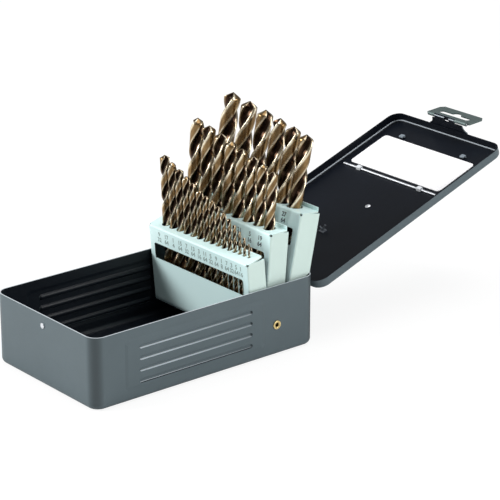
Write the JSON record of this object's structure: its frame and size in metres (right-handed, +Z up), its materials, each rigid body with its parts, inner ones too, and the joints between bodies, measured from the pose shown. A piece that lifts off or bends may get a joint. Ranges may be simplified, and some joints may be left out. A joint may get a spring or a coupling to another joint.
{
  "type": "drill bit case",
  "caption": "Hinged steel case whose lid raises pivoting index tiers that hold graded twist drill bits upright, with a snap latch and a folding hanger.",
  "frame": {"origin": "centre of the tray's flat underside", "axes": "+Z up, +Y from the latch wall towards the hinge, +X to the right as seen from the latch"},
  "size_m": [0.1166, 0.3885, 0.1581],
  "materials": {
    "case_paint": "fine semi-gloss grey paint",
    "lid_paint": "dark blue-grey enamel",
    "tier_enamel": "pale green-grey enamel",
    "hanger_plate": "dull zinc-plated steel",
    "eyelet_brass": "polished",
    "bit_steel": "straw gold oxide, ground flutes",
    "bright_steel": "bright wire and pins",
    "card": "plain white card"
  },
  "bodies": {
    "case": {"case_body": "case_paint", "front_stud": "bright_steel", "eyelet_left": "eyelet_brass", "eyelet_right": "eyelet_brass", "hinge_leaf_case": "case_paint", "hinge_pin": "bright_steel"},
    "lid": {"lid_shell": "lid_paint", "hinge_leaf_lid": "case_paint", "hang_tab_pin": "bright_steel", "label_card": "card", "label_rail": "bright_steel", "lid_rivet": "bright_steel", "lift_eye": "bright_steel"},
    "hanger": {"hang_tab": "hanger_plate"},
    "tier_small_body": {"tier_small": "tier_enamel", "rest_small": "tier_enamel"},
    "tier_medium_body": {"tier_medium": "tier_enamel", "rest_medium": "tier_enamel"},
    "tier_large_body": {"tier_large": "tier_enamel", "rest_large": "tier_enamel"},
    "bit_18": {"drill_18_64": "bit_steel"},
    "bit_17": {"drill_17_64": "bit_steel"},
    "bit_16": {"drill_16_64": "bit_steel"},
    "bit_15": {"drill_15_64": "bit_steel"},
    "bit_14": {"drill_14_64": "bit_steel"},
    "bit_13": {"drill_13_64": "bit_steel"},
    "bit_12": {"drill_12_64": "bit_steel"},
    "bit_11": {"drill_11_64": "bit_steel"},
    "bit_10": {"drill_10_64": "bit_steel"},
    "bit_09": {"drill_09_64": "bit_steel"},
    "bit_08": {"drill_08_64": "bit_steel"},
    "bit_07": {"drill_07_64": "bit_steel"},
    "bit_06": {"drill_06_64": "bit_steel"},
    "bit_05": {"drill_05_64": "bit_steel"},
    "bit_04": {"drill_04_64": "bit_steel"},
    "bit_26": {"drill_26_64": "bit_steel"},
    "bit_25": {"drill_25_64": "bit_steel"},
    "bit_24": {"drill_24_64": "bit_steel"},
    "bit_23": {"drill_23_64": "bit_steel"},
    "bit_22": {"drill_22_64": "bit_steel"},
    "bit_21": {"drill_21_64": "bit_steel"},
    "bit_20": {"drill_20_64": "bit_steel"},
    "bit_19": {"drill_19_64": "bit_steel"},
    "bit_32": {"drill_32_64": "bit_steel"},
    "bit_31": {"drill_31_64": "bit_steel"},
    "bit_30": {"drill_30_64": "bit_steel"},
    "bit_29": {"drill_29_64": "bit_steel"},
    "bit_28": {"drill_28_64": "bit_steel"},
    "bit_27": {"drill_27_64": "bit_steel"}
  },
  "joints": [
    {"name": "lid_hinge", "type": "hinge", "parent": "case", "child": "lid", "pos_m": [0, 0.0956, 0.0476], "axis": [-1, 0, 0], "range_deg": [-160, 0]},
    {"name": "tier_small_pivot", "type": "hinge", "parent": "case", "child": "tier_small_body", "pos_m": [0, 0.0595, 0.0228], "axis": [-1, 0, 0], "range_deg": [-85, 0]},
    {"name": "tier_medium_pivot", "type": "hinge", "parent": "case", "child": "tier_medium_body", "pos_m": [0, 0.0595, 0.0228], "axis": [-1, 0, 0], "range_deg": [-93.1, 0]},
    {"name": "tier_large_pivot", "type": "hinge", "parent": "case", "child": "tier_large_body", "pos_m": [0, 0.0595, 0.0228], "axis": [-1, 0, 0], "range_deg": [-98.6, 0]},
    {"name": "hanger_pivot", "type": "hinge", "parent": "lid", "child": "hanger", "pos_m": [0, 0.2755, 0.1163], "axis": [-1, 0, 0], "range_deg": [-106, 20]},
    {"name": "bit_18_lift", "type": "slide", "parent": "tier_small_body", "child": "bit_18", "axis": [0, -0.0349, 0.9994], "range_m": [0, 0.0601]},
    {"name": "bit_17_lift", "type": "slide", "parent": "tier_small_body", "child": "bit_17", "axis": [0, -0.0349, 0.9994], "range_m": [0, 0.0601]},
    {"name": "bit_16_lift", "type": "slide", "parent": "tier_small_body", "child": "bit_16", "axis": [0, -0.0349, 0.9994], "range_m": [0, 0.0601]},
    {"name": "bit_15_lift", "type": "slide", "parent": "tier_small_body", "child": "bit_15", "axis": [0, -0.0349, 0.9994], "range_m": [0, 0.0601]},
    {"name": "bit_14_lift", "type": "slide", "parent": "tier_small_body", "child": "bit_14", "axis": [0, -0.0349, 0.9994], "range_m": [0, 0.0601]},
    {"name": "bit_13_lift", "type": "slide", "parent": "tier_small_body", "child": "bit_13", "axis": [0, -0.0349, 0.9994], "range_m": [0, 0.0601]},
    {"name": "bit_12_lift", "type": "slide", "parent": "tier_small_body", "child": "bit_12", "axis": [0, -0.0349, 0.9994], "range_m": [0, 0.0601]},
    {"name": "bit_11_lift", "type": "slide", "parent": "tier_small_body", "child": "bit_11", "axis": [0, -0.0349, 0.9994], "range_m": [0, 0.0601]},
    {"name": "bit_10_lift", "type": "slide", "parent": "tier_small_body", "child": "bit_10", "axis": [0, -0.0349, 0.9994], "range_m": [0, 0.0601]},
    {"name": "bit_09_lift", "type": "slide", "parent": "tier_small_body", "child": "bit_09", "axis": [0, -0.0349, 0.9994], "range_m": [0, 0.0601]},
    {"name": "bit_08_lift", "type": "slide", "parent": "tier_small_body", "child": "bit_08", "axis": [0, -0.0349, 0.9994], "range_m": [0, 0.0601]},
    {"name": "bit_07_lift", "type": "slide", "parent": "tier_small_body", "child": "bit_07", "axis": [0, -0.0349, 0.9994], "range_m": [0, 0.0601]},
    {"name": "bit_06_lift", "type": "slide", "parent": "tier_small_body", "child": "bit_06", "axis": [0, -0.0349, 0.9994], "range_m": [0, 0.0601]},
    {"name": "bit_05_lift", "type": "slide", "parent": "tier_small_body", "child": "bit_05", "axis": [0, -0.0349, 0.9994], "range_m": [0, 0.0601]},
    {"name": "bit_04_lift", "type": "slide", "parent": "tier_small_body", "child": "bit_04", "axis": [0, -0.0349, 0.9994], "range_m": [0, 0.0601]},
    {"name": "bit_26_lift", "type": "slide", "parent": "tier_medium_body", "child": "bit_26", "axis": [0, 0.0837, 0.9965], "range_m": [0, 0.0783]},
    {"name": "bit_25_lift", "type": "slide", "parent": "tier_medium_body", "child": "bit_25", "axis": [0, 0.0837, 0.9965], "range_m": [0, 0.0783]},
    {"name": "bit_24_lift", "type": "slide", "parent": "tier_medium_body", "child": "bit_24", "axis": [0, 0.0837, 0.9965], "range_m": [0, 0.0783]},
    {"name": "bit_23_lift", "type": "slide", "parent": "tier_medium_body", "child": "bit_23", "axis": [0, 0.0837, 0.9965], "range_m": [0, 0.0783]},
    {"name": "bit_22_lift", "type": "slide", "parent": "tier_medium_body", "child": "bit_22", "axis": [0, 0.0837, 0.9965], "range_m": [0, 0.0783]},
    {"name": "bit_21_lift", "type": "slide", "parent": "tier_medium_body", "child": "bit_21", "axis": [0, 0.0837, 0.9965], "range_m": [0, 0.0783]},
    {"name": "bit_20_lift", "type": "slide", "parent": "tier_medium_body", "child": "bit_20", "axis": [0, 0.0837, 0.9965], "range_m": [0, 0.0783]},
    {"name": "bit_19_lift", "type": "slide", "parent": "tier_medium_body", "child": "bit_19", "axis": [0, 0.0837, 0.9965], "range_m": [0, 0.0783]},
    {"name": "bit_32_lift", "type": "slide", "parent": "tier_large_body", "child": "bit_32", "axis": [0, 0.2079, 0.9781], "range_m": [0, 0.0933]},
    {"name": "bit_31_lift", "type": "slide", "parent": "tier_large_body", "child": "bit_31", "axis": [0, 0.2079, 0.9781], "range_m": [0, 0.0933]},
    {"name": "bit_30_lift", "type": "slide", "parent": "tier_large_body", "child": "bit_30", "axis": [0, 0.2079, 0.9781], "range_m": [0, 0.0933]},
    {"name": "bit_29_lift", "type": "slide", "parent": "tier_large_body", "child": "bit_29", "axis": [0, 0.2079, 0.9781], "range_m": [0, 0.0933]},
    {"name": "bit_28_lift", "type": "slide", "parent": "tier_large_body", "child": "bit_28", "axis": [0, 0.2079, 0.9781], "range_m": [0, 0.0933]},
    {"name": "bit_27_lift", "type": "slide", "parent": "tier_large_body", "child": "bit_27", "axis": [0, 0.2079, 0.9781], "range_m": [0, 0.0933]}
  ],
  "couplings": [
    {"joint": "tier_small_pivot", "follows": "lid_hinge", "ratio": 0.53125},
    {"joint": "tier_medium_pivot", "follows": "lid_hinge", "ratio": 0.58187},
    {"joint": "tier_large_pivot", "follows": "lid_hinge", "ratio": 0.61625}
  ]
}
